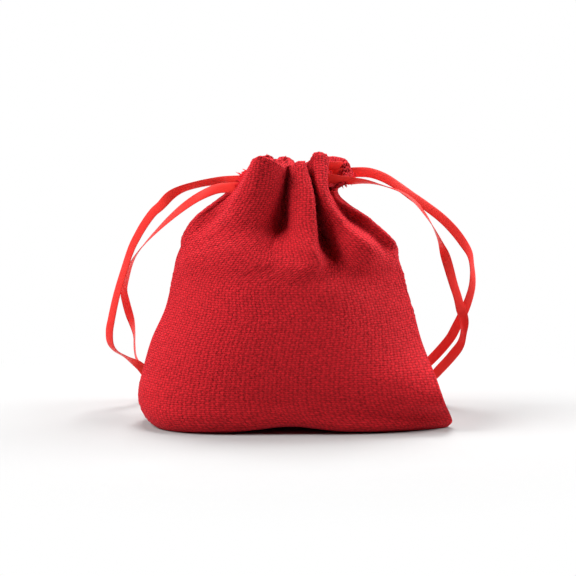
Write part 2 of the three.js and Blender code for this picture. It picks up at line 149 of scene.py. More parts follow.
# Folds of the gathered back, listed from the left seam as the front is.
BACK_LOW = [
    (0, -35.2, 0.0, 50), (8, -32.4, 9.2, 50), (18, -26.0, 14.8, 50), (30, -15.5, 18.8, 50),
    (42, -6.0, 19.0, 50), (54, 2.0, 19.4, 50), (66, 10.5, 18.6, 50), (78, 19.0, 16.2, 50),
    (88, 26.0, 10.6, 50), (97, 31.2, 2.6, 50), (104, 30.6, -4.6, 50),
]
BACK_SHOULDER = [
    (0, -32.8, -2.0, 55.2), (5, -33.9, 1.6, 54.7), (14, -30.0, 9.4, 54.0), (24, -22.5, 14.6, 54.0),
    (34, -13.0, 17.2, 54.0), (44, -5.5, 16.6, 54.0), (54, 1.5, 18.0, 54.0), (64, 8.5, 16.4, 54.0),
    (74, 15.5, 16.2, 54.0), (84, 22.5, 12.6, 54.0), (91, 27.6, 6.6, 54.0), (95, 30.0, 0.2, 54.2),
    (98.5, 30.3, -4.9, 54.8), (101.5, 29.1, -7.1, 55.4), (104, 27.0, -6.4, 55.8),
]
BACK_SPREAD = [
    (0, -27.6, -1.4, 61.8), (3, -29.4, -0.8, 61.7), (6, -30.2, 1.6, 61.4), (12, -26.2, 7.4, 61.0),
    (20, -20.0, 11.6, 60.5), (27, -14.5, 13.2, 60.5), (34, -10.2, 9.4, 60.5), (41, -6.6, 12.2, 60.5),
    (48, -2.6, 14.6, 60.5), (55, 1.4, 12.4, 60.5), (61, 4.4, 8.8, 60.5), (68, 8.0, 12.0, 60.5),
    (75, 12.0, 13.2, 60.5), (83, 16.4, 10.6, 60.5), (90, 20.8, 5.0, 61.0), (94, 23.0, -0.4, 61.2),
    (97.5, 23.3, -4.4, 61.5), (101, 21.8, -5.6, 61.9), (104, 19.4, -4.1, 62.0),
]
BACK_CASING = [
    (0, -18.2, -2.2, 70), (3, -19.4, -1.4, 70), (6, -19.6, 1.2, 70), (12, -17.6, 5.6, 70),
    (18, -14.6, 9.2, 70), (23, -11.4, 10.4, 70), (28, -9.4, 8.0, 70), (35, -8.6, 3.4, 70),
    (42, -6.8, 8.2, 70), (46, -4.4, 11.0, 70), (50, -1.6, 11.4, 70), (54, 0.4, 8.6, 70),
    (61, 1.6, 3.6, 70), (68, 3.2, 8.2, 70), (73, 5.8, 10.8, 70), (79, 9.2, 10.2, 70),
    (86, 11.6, 7.2, 70), (93, 12.7, 2.0, 70), (98, 12.9, -3.0, 70), (101, 12.1, -5.0, 70),
    (104, 10.5, -4.4, 70),
]
BACK_RIM = [
    (0, -12.8, -0.4, 77.0), (5, -12.6, 3.4, 77.8), (12, -11.2, 7.6, 78.8), (18, -9.4, 9.4, 79.2),
    (23, -7.8, 9.8, 79.4), (28, -6.6, 8.6, 79.1), (35, -5.6, 6.8, 78.4), (42, -4.2, 8.4, 79.0),
    (46, -2.9, 9.4, 78.9), (50, -1.4, 9.0, 78.6), (54, 0.2, 7.4, 77.6), (61, 1.8, 5.6, 76.8),
    (68, 3.6, 6.4, 77.4), (73, 5.8, 9.2, 78.0), (79, 8.8, 9.8, 78.6), (86, 11.6, 8.6, 79.0),
    (94, 14.2, 6.6, 78.9), (100, 16.0, 4.4, 78.4), (104, 16.8, 2.6, 77.4),
]
BACK_TUNNEL = [
    (0, -15.6, -1.2, 74.0), (5, -15.4, 2.6, 74.4), (12, -14.0, 5.6, 74.8), (18, -12.0, 6.0, 75.2),
    (23, -9.6, 5.2, 75.4), (28, -7.8, 3.4, 75.2), (35, -6.9, 1.0, 74.8), (42, -5.4, 3.0, 75.0),
    (46, -3.5, 4.2, 75.0), (50, -1.4, 4.2, 74.9), (54, 0.3, 3.2, 74.4), (61, 1.7, 1.4, 73.9),
    (68, 3.4, 4.8, 74.2), (73, 5.8, 7.0, 74.6), (79, 9.0, 6.8, 74.8), (86, 11.8, 4.6, 74.8),
    (93, 14.2, 1.8, 74.7), (98, 15.8, 0.2, 74.4), (101, 16.6, -0.8, 74.2), (104, 17.2, -1.4, 73.6),
]
LOW_ROW, SHOULDER_ROW, SPREAD_ROW, CASING_ROW, TUNNEL_ROW = 69.0, 74.5, 82.7, 92.5, 97.5

FRONT_KEYS = [
    (LOW_ROW, FRONT_LOW), (SHOULDER_ROW, FRONT_SHOULDER), (SPREAD_ROW, FRONT_SPREAD),
    (CASING_ROW, FRONT_CASING), (RIM_ROW, FRONT_RIM),
]
BACK_KEYS = [
    (LOW_ROW, BACK_LOW), (SHOULDER_ROW, BACK_SHOULDER), (SPREAD_ROW, BACK_SPREAD),
    (CASING_ROW, BACK_CASING), (TUNNEL_ROW, BACK_TUNNEL), (RIM_ROW, BACK_RIM),
]
# Places of the crests of the folds, where the weave keeps its true size.
FRONT_CRESTS = (18.0, 56.0, 91.0)
BACK_CRESTS = (23.0, 48.0, 76.0)
CREST_SPACING = 0.86
# Two places at each end of a casing, the second on its cut edge.
EDGE_PLACES = ((0.9, 0.0), (103.1, 104.0))
# Loose yarns on each cut edge, and their reach on the front's left and right edge, then on the back's.
FRAY_YARNS = 26
FRAY_REACH = (1.7, 1.0, 1.0, 0.8)
# Rows between which they lie, lengths for a reach of 1, turn on each edge, stray, and points round one.
FRAY_ROWS = (STITCH_ROW + 2.5, RIM_ROW - 3.5)
FRAY_LENGTHS = (0.7, 1.6)
FRAY_ASIDE = (-0.9, 0.9, -0.9, 0.9)
FRAY_STRAY = 0.30
FRAY_SIDES = 6
# Shares of a yarn's length, from a little inside the cloth to the tip, with the radius at each.
FRAY_PROFILE = [(-0.3, 0.0), (-0.2, 0.22), (0.2, 0.20), (0.5, 0.17), (0.8, 0.12), (1.0, 0.0)]

# Each ribbon tail from its slit to its knot: x, y and z, and its turn in degrees from facing the front.
LEFT_BACK_TAIL = [
    (-12.5, -2.0, 73.3, 5), (-16.4, -1.9, 73.2, 5), (-19.0, -0.4, 73.0, 14), (-21.6, 1.8, 72.7, 25),
    (-28.2, 5.2, 71.4, 40), (-34.2, 7.0, 69.5, 35), (-37.3, 8.0, 67.6, 10), (-40.4, 9.2, 64.4, -22),
    (-42.6, 10.2, 62.4, -30), (-45.4, 11.5, 58.6, -34), (-47.7, 13.0, 54.7, -38), (-49.6, 14.3, 50.9, -42),
    (-52.3, 17.0, 43.2, -44), (-54.7, 19.3, 35.4, -42), (-56.5, 21.3, 27.6, -38), (-57.2, 22.4, 23.7, -36),
    (-57.0, 24.0, 19.7, -44), (-55.6, 25.3, 17.3, -62), (-52.4, 27.3, 15.0, -62), (-48.2, 29.7, 11.7, -14),
    (-45.2, 31.5, 7.6, -10), (-40.5, 33.2, 3.6, -50), (-35.0, 34.6, 1.4, -85), (-29.5, 35.6, 0.9, -90),
    (-24.0, 36.4, 1.6, -90),
]
LEFT_FRONT_TAIL = [
    (-14.4, -2.9, 71.6, -5), (-17.2, -2.5, 71.3, -6), (-19.6, -1.6, 71.0, -10), (-23.0, 0.0, 70.5, -20),
    (-28.2, 2.4, 68.1, -35), (-33.0, 6.0, 64.7, -45), (-37.6, 9.0, 60.7, -60), (-41.6, 11.7, 56.7, -75),
    (-45.1, 14.0, 52.8, -88), (-49.4, 17.0, 46.9, -105), (-51.7, 19.8, 40.4, -120),
    (-52.5, 21.4, 36.4, -130), (-52.0, 22.8, 33.0, -138), (-51.1, 24.4, 29.0, -138),
    (-50.4, 25.5, 26.3, -124), (-49.8, 27.0, 22.4, -100), (-49.8, 28.8, 17.5, -96),
    (-49.2, 31.0, 13.4, -96), (-46.3, 33.3, 9.2, -95), (-42.0, 35.3, 5.4, -92), (-36.5, 36.8, 2.9, -90),
    (-30.5, 37.4, 2.0, -90), (-24.0, 37.0, 2.2, -90),
]
RIGHT_BACK_TAIL = [
    (11.2, 1.0, 74.8, -6), (14.4, 1.4, 75.0, -6), (18.2, 2.6, 75.2, 0), (22.8, 5.2, 74.8, 14),
    (27.4, 7.8, 73.0, 24), (32.0, 10.2, 70.0, 34), (35.8, 12.0, 67.1, 32), (39.8, 13.4, 64.2, 28),
    (45.1, 15.2, 60.0, 24), (48.9, 16.7, 56.1, 20), (51.8, 18.1, 52.3, 26), (54.1, 19.2, 48.5, 46),
    (54.9, 20.2, 44.6, 58), (55.2, 21.4, 40.1, 46), (54.9, 22.4, 36.8, 36), (53.6, 23.6, 32.0, 22),
    (52.0, 24.6, 28.0, 8), (50.4, 25.6, 24.5, 2), (49.1, 26.8, 21.6, 0), (47.6, 27.8, 19.3, 0),
    (44.0, 29.8, 14.7, 0), (39.8, 32.0, 10.3, 16), (34.0, 34.4, 6.4, 50), (28.5, 36.0, 3.4, 80),
    (22.0, 37.0, 2.2, 90),
]
RIGHT_FRONT_TAIL = [
    (8.4, -3.2, 74.2, -14), (10.6, -2.9, 73.8, -18), (13.8, -2.9, 73.4, -24), (17.2, -2.4, 73.0, -36),
    (21.2, 0.0, 72.5, -58), (24.9, 2.2, 71.6, -78), (28.8, 4.4, 70.3, -86), (32.5, 6.2, 68.7, -94),
    (36.5, 8.2, 65.6, -104), (39.4, 9.8, 62.1, -102), (41.8, 11.4, 58.5, -90), (44.6, 13.4, 52.8, -64),
    (46.7, 15.4, 47.0, -4), (49.1, 17.9, 39.2, 26), (50.4, 18.9, 35.3, 28), (51.4, 19.9, 31.5, 14),
    (52.6, 20.9, 27.6, -24), (52.5, 21.9, 23.7, -52), (51.8, 23.3, 19.9, -40), (49.3, 25.8, 15.6, -6),
    (46.0, 28.6, 11.2, -2), (42.0, 31.2, 6.4, 24), (37.0, 33.4, 2.6, 66), (31.0, 35.0, 1.0, 88),
    (25.5, 36.0, 0.9, 90), (22.0, 36.4, 1.6, 90),
]
# Ribbon seen in each slit, where it goes from the front casing to the back one: x, y and z.
LEFT_SLIT_RUN = [
    (-13.2, -7.6, 75.8), (-13.6, -4.8, 75.9), (-13.8, -2.0, 75.9), (-13.6, 0.8, 75.9), (-12.6, 3.4, 75.8),
]
RIGHT_SLIT_RUN = [
    (8.4, -2.4, 77.2), (10.2, -1.6, 77.3), (12.0, -0.5, 77.3), (13.4, 1.0, 77.2), (14.0, 2.6, 76.9),
]
# Direction of the ribbon's width in each slit.
LEFT_SLIT_UP = (0.3, 0.35, 0.9)
RIGHT_SLIT_UP = (0.3, -0.35, 0.9)
# Steps between two points of a ribbon, and points round its section.
RIBBON_STEPS = 8
RIBBON_SIDES = 24
# Power that squares the section, how far its edges curl, and how it changes where it is fully bunched.
RIBBON_SQUARENESS = 0.45
RIBBON_CURL = 0.10
BUNCH_THICKER = 2.4
BUNCH_NARROWER = 0.42
# Knots: the middle of each, size along each axis, angle left out at each side of the cut, points along the
# loop, and the angle over which it gets fully bunched.
LEFT_KNOT = (-24.0, 36.7, 2.2)
RIGHT_KNOT = (22.0, 36.7, 2.2)
KNOT_SIZE = (0.88, 0.76, 1.0)
KNOT_CUT = 0.6
KNOT_POINTS = 29
KNOT_EASE = 1.2
# A knot's free ends: reach, angle, and heights from the tip to the loop.
KNOT_REACH = 12.8
KNOT_SPLAY = math.radians(24.0)
KNOT_END_HEIGHTS = (-1.7, -1.6, -1.0)

# Weave: two noises that make the yarns wander, with scale per millimetre, detail and full range.
YARN_WANDER = ((0.10, 3.0, 0.65), (0.80, 1.0, 0.28))
# Thinnest and thickest half width of a yarn in pitches, and the share of its height that rises and falls.
WEFT_HALF = (0.42, 0.68)
WARP_HALF = (0.26, 0.46)
WEFT_WAVE = 0.42
WARP_WAVE = 0.40
# Swelling noise: distance from yarn to yarn, pace along a yarn, and number of the first weft.
SWELL_APART = 7.3
SWELL_PACE = 0.30
FIRST_WEFT = 400.5
# How far the warp lies under the weft, and the full range of the shift of a weft's float.
WARP_SUNK = 0.20
FLOAT_SHIFT = 0.36
# Tone: scale of the fibres and of the clouds, then how much cells, fibres and clouds differ.
FIBRES_PER_MM = (1.6, 2.2, 1.0)
CLOUDS_PER_MM = 0.05
CELL_TONE = 0.14
FIBRE_TONE = 0.80
CLOUD_TONE = 0.06
# Tone at the middle height, that height, the contrast of the painted shade in the low places on the bag and
# at the neck, and the rows between.
WEAVE_TONE = 0.735
MIDDLE_HEIGHT = 0.62
WEAVE_SHADE_DEPTH = (0.62, 0.84)
DRAWN_ROWS = (60.0, 80.0)
# Depth of the weave's bump, and how much the fibres add to it.
WEAVE_BUMP = 0.22
FIBRE_BUMP = 0.15

# Satin: distance between ribs, where the woven edge begins and is full, and the dark tone's share.
RIB_PITCH = 0.22
RIBBON_EDGE = (1.22, 1.36)
SATIN_SHADE = 0.45

# Sockets of a Mix node: its two colours, and its colour output.
MIX_LOW, MIX_HIGH, MIX_COLOUR = 6, 7, 2

# Lamps: name, place, size and power in metres and watts, and the point they face.
LAMPS = [
    ("left_lamp", (-0.740, -0.198, 0.683), 0.5, 12.3),
    ("right_lamp", (0.740, -0.198, 0.683), 0.5, 5.2),
    ("right_back_lamp", (0.814, 0.296, 0.540), 0.5, 7.0),
    ("back_lamp", (0.0, 0.420, 0.940), 0.5, 13.0),
]
LAMP_AIM = (0.0, 0.0, 0.04)
# Surround's light, half the floor's width, and the distances between which the floor turns white.
SURROUND_LIGHT = 0.02
FLOOR_HALF = 4.0
FLOOR_FADE = (0.065, 0.145)


class PouchCloth(PropertyGroup):
    """Sizes and colours of the linen."""

    thickness: FloatProperty(
        name="Thickness", description="Thickness of the loose weave", default=0.55 * MM, unit="LENGTH",
    )
    rim_radius: FloatProperty(
        name="Rim radius", description="Radius of the fold along the rim", default=0.75 * MM, unit="LENGTH",
    )
    warp_pitch: FloatProperty(
        name="Warp pitch", description="Distance between the yarns that run up",
        default=1.20 * MM, unit="LENGTH",
    )
    weft_pitch: FloatProperty(
        name="Weft pitch", description="Distance between the yarns that run across",
        default=0.655 * MM, unit="LENGTH",
    )
    columns: IntProperty(name="Columns", description="Steps across one panel", default=130, min=40)
    rows: IntProperty(name="Rows", description="Steps from the bottom fold to the rim", default=150, min=40)
    yarn: FloatVectorProperty(
        name="Yarn", description="Colour of the yarn's crown",
        subtype="COLOR", default=(0.66, 0.0128, 0.0215),
    )
    # Painted shade: the colour that the low places and gaps of the weave are darkened towards.
    gap: FloatVectorProperty(
        name="Gap", description="Colour in the gaps of the weave",
        subtype="COLOR", default=(0.06, 0.0006, 0.001),
    )
    fuzz: FloatVectorProperty(
        name="Fuzz", description="Colour of the fine fuzz", subtype="COLOR", default=(0.90, 0.05, 0.095),
    )


class PouchRibbon(PropertyGroup):
    """Sizes and colour of the drawstrings."""

    width: FloatProperty(name="Width", description="Width of the ribbon", default=3.0 * MM, unit="LENGTH")
    thickness: FloatProperty(
        name="Thickness", description="Thickness of the ribbon", default=0.28 * MM, unit="LENGTH",
    )
    satin: FloatVectorProperty(
        name="Satin", description="Colour of the ribbon", subtype="COLOR", default=(0.80, 0.030, 0.025),
    )


class PouchStage(PropertyGroup):
    """Camera and floor."""

    distance: FloatProperty(
        name="Camera distance", description="From the camera to the point it looks at",
        default=0.750, unit="LENGTH",
    )
    elevation: FloatProperty(
        name="Elevation", description="Camera's angle above the horizon",
        default=math.radians(8.0), unit="ROTATION",
    )
    seen_width: FloatProperty(
        name="Seen width", description="Width of the picture at that point", default=0.1728, unit="LENGTH",
    )
    aim: FloatVectorProperty(
        name="Aim", description="Point the camera looks at",
        subtype="TRANSLATION", default=(-0.0018, 0.0, 0.0406),
    )
    floor_bounce: FloatProperty(
        name="Floor bounce", description="Share of light the floor gives back",
        default=0.50, subtype="FACTOR",
    )
    floor_white: FloatProperty(
        name="Floor white", description="How white the floor looks in open light",
        default=0.42, subtype="FACTOR",
    )


# Curves through points

def through(knots, values, at):
    """Smooth curve through values at rising knots, read at places: cubic pieces whose slope at a knot is the
    slope of the parabola through that knot and its two neighbours. The knots run along the first axis."""
    knots = np.asarray(knots, float)
    values = np.asarray(values, float)
    at = np.clip(np.asarray(at, float), knots[0], knots[-1])
    column = (-1,) + (1,) * (values.ndim - 1)
    span = np.diff(knots).reshape(column)
    rise = np.diff(values, axis=0) / span
    before, after = span[:-1], span[1:]
    slope = np.empty_like(values)
    slope[1:-1] = (rise[:-1] * after + rise[1:] * before) / (before + after)
    slope[0] = rise[0]
    slope[-1] = rise[-1]
    i = np.clip(np.searchsorted(knots, at, side="right") - 1, 0, len(span) - 1)
    step = span[i]
    t = (at - knots[i]).reshape(column) / step
    start, end = values[i], values[i + 1]
    ease = t * t * (3 - 2 * t)
    leave = t * (1 - t) ** 2 * step * slope[i]
    arrive = t * t * (t - 1) * step * slope[i + 1]
    return start + (end - start) * ease + leave + arrive


def along(points):
    """Distance along a line of points, from its start."""
    steps = np.linalg.norm(np.diff(points, axis=0), axis=-1)
    return np.concatenate([np.zeros((1, *steps.shape[1:])), np.cumsum(steps, axis=0)])


def unit(vectors):
    """Vectors of the same directions with length 1."""
    return vectors / np.maximum(np.linalg.norm(vectors, axis=-1, keepdims=True), 1e-12)


def smooth(t):
    """0 to 1 with no slope at either end."""
    t = np.clip(t, 0.0, 1.0)
    return t * t * (3 - 2 * t)


# Meshes

def grid_faces(rows, columns, round_columns=False):
    """Four corners of each cell of a grid of points numbered row by row, with the last column joined to the
    first if asked for. A face looks along the direction across a row crossed with the one up the rows."""
    i = np.arange(rows - 1)[:, None]
    j = np.arange(columns if round_columns else columns - 1)[None, :]
    k = (j + 1) % columns
    corners = [i * columns + j, i * columns + k, (i + 1) * columns + k, (i + 1) * columns + j]
    return np.stack([np.broadcast_to(c, (rows - 1, j.size)) for c in corners], axis=-1).reshape(-1, 4)


def sew(mesh):
    """Joins the points of a mesh that lie in one place, such as the two panels along their fold and seams."""
    joined = bmesh.new()
    joined.from_mesh(mesh)
    bmesh.ops.remove_doubles(joined, verts=joined.verts, dist=SEWN_WITHIN * MM)
    joined.to_mesh(mesh)
    joined.free()


def mesh_piece(name, points, faces, material, uv_name, uv):
    """A mesh object in metres from points in millimetres and four-cornered faces, with each point's uv, sewn
    where points meet, riding on the pouch and taking its finish from a slot."""
    mesh = bpy.data.meshes.new(name)
    mesh.vertices.add(len(points))
    mesh.vertices.foreach_set("co", (points * MM).astype(np.float32).ravel())
    mesh.loops.add(faces.size)
    mesh.loops.foreach_set("vertex_index", faces.astype(np.int32).ravel())
    mesh.polygons.add(len(faces))
    mesh.polygons.foreach_set("loop_start", np.arange(0, faces.size, faces.shape[1], dtype=np.int32))
    mesh.polygons.foreach_set("use_smooth", np.ones(len(faces), bool))
    layer = mesh.uv_layers.new(name=uv_name)
    layer.data.foreach_set("uv", uv[faces.ravel()].astype(np.float32).ravel())
    mesh.update(calc_edges=True)
    mesh.validate()
    sew(mesh)
    mesh.materials.append(material)
    piece = bpy.data.objects.new(name, mesh)
    bpy.context.scene.collection.objects.link(piece)
    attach(piece, BODY)
    return piece


# Shader maths

class Wire:
    """A socket of a material's node tree. Arithmetic with numbers and other wires adds Math nodes."""

    def __init__(self, tree, socket=None):
        self.tree = tree
        self.socket = socket

    def node(self, kind, inputs=None, output=0, **settings):
        """Adds a node of a kind, sets its settings, then its sockets' values or links. Returns an output."""
        made = self.tree.nodes.new("ShaderNode" + kind)
        for key, value in settings.items():
            setattr(made, key, value)
        for key, value in (inputs or {}).items():
            if isinstance(value, Wire):
                self.tree.links.new(value.socket, made.inputs[key])
            else:
                made.inputs[key].default_value = value
        return Wire(self.tree, made.outputs[output])

    def other_output(self, output):
        """Another output of the node that this wire comes from."""
        return Wire(self.tree, self.socket.node.outputs[output])

    def maths(self, operation, *values):
        return self.node("Math", dict(enumerate(values)), operation=operation)

    def __add__(self, other):
        return self.maths("ADD", self, other)

    __radd__ = __add__

    def __sub__(self, other):
        return self.maths("SUBTRACT", self, other)

    def __rsub__(self, other):
        return self.maths("SUBTRACT", other, self)

    def __mul__(self, other):
        return self.maths("MULTIPLY", self, other)

    __rmul__ = __mul__

    def __truediv__(self, other):
        return self.maths("DIVIDE", self, other)

    def __pow__(self, other):
        return self.maths("POWER", self, other)

    def __abs__(self):
        return self.maths("ABSOLUTE", self)

    def floor(self):
        return self.maths("FLOOR", self)

    def cosine(self):
        return self.maths("COSINE", self)

    def largest(self, other):
        return self.maths("MAXIMUM", self, other)

    def mix(self, low, high):
        """A colour from low to high as this wire goes from 0 to 1."""
        ends = {"Factor": self, MIX_LOW: (*low, 1.0), MIX_HIGH: (*high, 1.0)}
        return self.node("Mix", ends, output=MIX_COLOUR, data_type="RGBA", clamp_factor=True)

    def blend(self, low, high):
        """A number from low to high as this wire goes from 0 to 1."""
        return low + (high - low) * self

    def ease(self, low, high):
        """0 to 1 as this wire goes from low to high, with no slope at either end."""
        ends = {"Value": self, "From Min": low, "From Max": high}
        return self.node("MapRange", ends, interpolation_type="SMOOTHSTEP")


def new_material(name):
    """A material with one Principled shader. Returns the material, its shader and a wire to build from."""
    material = bpy.data.materials.new(name)
    material.use_nodes = True
    tree = material.node_tree
    return material, tree.nodes["Principled BSDF"], Wire(tree)


def feed(shader, **sockets):
    """Sets or links sockets of a shader, named with _ for a space."""
    tree = shader.id_data
    for name, value in sockets.items():
        socket = shader.inputs[name.replace("_", " ")]
        if isinstance(value, Wire):
            tree.links.new(value.socket, socket)
        else:
            socket.default_value = value


# Finishes

def strayed(place, scale, detail, most):
    """A place on the cloth moved aside by a noise, given the noise's scale per millimetre, its detail and the
    full range of the move."""
    noise = place.node("TexNoise", {"Vector": place, "Scale": scale, "Detail": detail}, output=1)
    move = place.node("VectorMath", {0: noise, 1: (0.5, 0.5, 0.5)}, operation="SUBTRACT")
    return place.node("VectorMath", {0: move, 1: (most, most, 0.0), 2: place}, operation="MULTIPLY_ADD")


def yarn_swell(start, number, run):
    """Thickness of a yarn from 0 to 1: a slow noise along it, different for each yarn's number."""
    at = start.node("CombineXYZ", {0: number * SWELL_APART, 1: run * SWELL_PACE})
    return start.node("TexNoise", {"Vector": at, "Scale": 1.0, "Detail": 1.0})


def yarn_height(wave, over, along_yarn, across_yarn, half):
    """Height of a yarn: a cosine along it, high where it goes over the yarn that it crosses and low where it
    goes under, and a parabola across it that falls to nothing at half its width."""
    return wave * (along_yarn * math.pi).cosine() * over + (1 - wave) * (1.0 - (across_yarn / half) ** 2.0)


def linen_finish(cloth):
    """Coarse plain weave. The warp runs up in round yarns set well apart, and the weft runs across in yarns
    that touch. The higher of the two shows. Yarns wander and swell, each float of the weft is shifted and
    differs in tone, and the low places are painted dark as shade, most of all where the neck is drawn
    together."""
    material, shader, start = new_material("red_linen")
    flat = start.node("UVMap", uv_map=CLOTH_UV)
    bent = flat
    for scale, detail, most in YARN_WANDER:
        bent = strayed(bent, scale, detail, most)
    place = start.node("SeparateXYZ", {0: bent})
    rise = place.other_output(1)
    across = place / (cloth.warp_pitch / MM)
    up = rise / (cloth.weft_pitch / MM)
    column, row = across.floor(), up.floor()
    a = across - column - 0.5
    b = up - row - 0.5
    cell = start.node("TexWhiteNoise", {"Vector": start.node("CombineXYZ", {0: column, 1: row})})
    over = ((column + row) * math.pi).cosine()
    weft_half = yarn_swell(start, row + FIRST_WEFT, across).blend(*WEFT_HALF)
    warp_half = yarn_swell(start, column, up * 0.5).blend(*WARP_HALF)
    weft = yarn_height(WEFT_WAVE, over, a + FLOAT_SHIFT * (cell - 0.5), b, weft_half)
    warp = yarn_height(WARP_WAVE, -1.0 * over, b, a, warp_half)
    height = weft.largest(warp - WARP_SUNK)
    fibre_at = start.node("VectorMath", {0: bent, 1: FIBRES_PER_MM}, operation="MULTIPLY")
    fibre = start.node("TexNoise", {"Vector": fibre_at, "Scale": 1.0, "Detail": 1.0})
    cloud = start.node("TexNoise", {"Vector": flat, "Scale": CLOUDS_PER_MM, "Detail": 2.0})
    tone = CELL_TONE * (cell - 0.5) + FIBRE_TONE * (fibre - 0.5) + CLOUD_TONE * (cloud - 0.5)
    # Painted shade: the lower a place of the weave, the nearer its colour is to the gap's, more so up at the
    # drawn neck; the cell, fibre and cloud tones are the yarn's own.
    shade_depth = rise.ease(*DRAWN_ROWS).blend(*WEAVE_SHADE_DEPTH)
    light = WEAVE_TONE + shade_depth * (height - MIDDLE_HEIGHT) + tone
    colour = light.mix(cloth.gap, cloth.yarn)
    rough = height + FIBRE_BUMP * fibre
    bump = start.node("Bump", {"Strength": 1.0, "Distance": WEAVE_BUMP * MM, "Height": rough})
    feed(shader, Base_Color=colour, Normal=bump, Roughness=0.88, Specular_IOR_Level=0.18)
    feed(shader, Sheen_Weight=0.30, Sheen_Roughness=0.4, Sheen_Tint=(*cloth.fuzz, 1.0))
    return material


def satin_finish(ribbon):
    """Satin: fine ribs run straight across the ribbon, threads run along it, and each side has a woven edge
    that is darker and a little raised."""
    material, shader, start = new_material("red_satin")
    run = start.node("SeparateXYZ", {0: start.node("UVMap", uv_map=RIBBON_UV)})
    side = run.other_output(1)
    rib = (run * (2 * math.pi / RIB_PITCH)).cosine()
    thread_at = start.node("CombineXYZ", {0: run * 0.6, 1: side * 9.0})
    thread = start.node("TexNoise", {"Vector": thread_at, "Scale": 1.0, "Detail": 2.0})
    edge_from, edge_to = RIBBON_EDGE
    edge = start.node("MapRange", {"Value": abs(side), "From Min": edge_from, "From Max": edge_to})
    shade = 0.80 + 0.28 * thread - 0.22 * edge
    colour = shade.mix([SATIN_SHADE * part for part in ribbon.satin], ribbon.satin)
    bump = start.node("Bump", {"Strength": 0.25, "Distance": 0.05 * MM, "Height": 0.5 * rib + thread + edge})
    feed(shader, Base_Color=colour, Normal=bump, Roughness=0.42)
    feed(shader, Specular_IOR_Level=0.32, Specular_Tint=(1.0, 0.28, 0.24, 1.0))
    return material


# The cloth

def bag_row(front, place, row):
    """One row of the filled bag across a panel. The section is a rounded lens: depth falls from the middle to
    each end as (1 - |c| to a power) to a root, c going from -1 at the left end to 1 at the right, and each
    end is drawn forward by its lean times c squared. The panel covers the section between its seams, with
    points spread evenly along it."""
    z, left, right, deep_front, deep_back = row[1:6]
    left_power, left_root, right_power, right_root = row[6:10]
    left_seam, right_seam, left_lean, right_lean = row[10:]
    c = -np.cos(np.linspace(0.0, math.pi, SECTION_POINTS))
    x = (left + right) / 2 + (right - left) / 2 * c
    power = np.where(c < 0, left_power, right_power)
    root = np.where(c < 0, left_root, right_root)
    deep = np.maximum(1 - np.abs(c) ** power, 0.0) ** root
    middle = -np.where(c < 0, left_lean, right_lean) * c * c
    face = np.stack([x, middle - deep_front * deep], axis=-1)
    run = along(face)
    if front:
        line = face[(run >= left_seam) & (run <= run[-1] - right_seam)]
    else:
        line = np.stack([x, middle + deep_back * deep], axis=-1)
        line = np.concatenate([face[run < left_seam][::-1], line, face[run > run[-1] - right_seam][::-1]])
    run = along(line)
    at = place / PANEL_WIDTH * run[-1]
    x, y = np.interp(at, run, line[:, 0]), np.interp(at, run, line[:, 1])
    return np.stack([x, y, np.full(len(place), z)], axis=-1)


def folded_row(place, points):
    """One row of the gathered part: a smooth curve through its points, read at places across the cloth."""
    table = np.array(points, float)
    return through(table[:, 0], table[:, 1:], place)


def panel(front, place, rows):
    """Outside of one panel: a smooth surface through the rows of the bag and the rows of the gathers. The
    front's lower edge is lifted by a share for each row times a bell curve across it."""
    keys = FRONT_KEYS if front else BACK_KEYS
    knots = [row[0] for row in BAG_ROWS] + [knot for knot, _ in keys]
    lines = [bag_row(front, place, row) for row in BAG_ROWS]
    lines += [folded_row(place, points) for _, points in keys]
    surface = through(knots, np.stack(lines), rows)
    if front:
        share = np.interp(rows, *np.transpose(LIFT_SHARES))
        bell = np.exp(-(((surface[..., 0] - LIFT_MIDDLE) / LIFT_SPREAD) ** 2))
        surface[..., 2] += LIFT_HEIGHT * share[:, None] * bell
    surface[..., 2] = np.maximum(surface[..., 2], FLOOR_GAP)
    return surface


def inward(surface, front):
    """Level direction from each point of a panel to the inside of the bag."""
    run = np.gradient(surface, axis=1)
    normal = np.stack([-run[..., 1], run[..., 0], np.zeros(run.shape[:2])], axis=-1)
    return unit(normal if front else -normal)


def nubby(surface, front, draws):
    """Lumps of the uneven yarn: each point of a panel moves in or out by its own random draw, in millimetres,
    and none does on the floor and along the side seams."""
    lowest, full = LUMP_HEIGHTS
    free = smooth((surface[..., 2] - lowest) / (full - lowest))
    free[:, [0, -1]] = 0.0
    return surface + inward(surface, front) * (free * draws.normal(0.0, LUMP, free.shape))[..., None]


def hem(surface, rows, front, radius):
    """The rim's roll and the turned-in hem: half a turn over the top, then down inside to the stitches."""
    normal = inward(surface, front)
    rise = unit(surface[-1] - surface[-2])
    turn = np.linspace(0.0, math.pi, ROLL_POINTS)[1:, None, None]
    roll = surface[-1] + radius * (normal[-1] * (1 - np.cos(turn)) + rise * np.sin(turn))
    keep = rows > STITCH_ROW + 1.0
    inside = (surface + 2 * radius * normal)[keep][::-1][1:]
    return np.concatenate([roll, inside])


def weave_place(surface, place, front):
    """Place of each point across the weave: its distance along its row from the nearest crest, so that the
    weave keeps its size on the faces, with the difference taken up smoothly down in the valleys."""
    crests = np.array(FRONT_CRESTS if front else BACK_CRESTS)
    run = along(surface.swapaxes(0, 1)).T
    before = np.searchsorted(place, crests, side="right") - 1
    share = (crests - place[before]) / (place[before + 1] - place[before])
    marks = run[:, before] * (1 - share) + run[:, before + 1] * share
    flat = crests * CREST_SPACING
    across = flat[0] + run - marks[:, :1]
    for i in range(len(crests) - 1):
        length = (marks[:, i + 1] - marks[:, i])[:, None]
        t = np.clip((run - marks[:, i:i + 1]) / length, 0.0, 1.0)
        between = (flat[i + 1] - flat[i]) * smooth(t) + length * t * (1 - t) * (1 - 2 * t)
        beyond = run - marks[:, i + 1:i + 2]
        inside = run >= marks[:, i:i + 1]
        across = np.where(inside, flat[i] + between + np.maximum(beyond, 0.0), across)
    return across


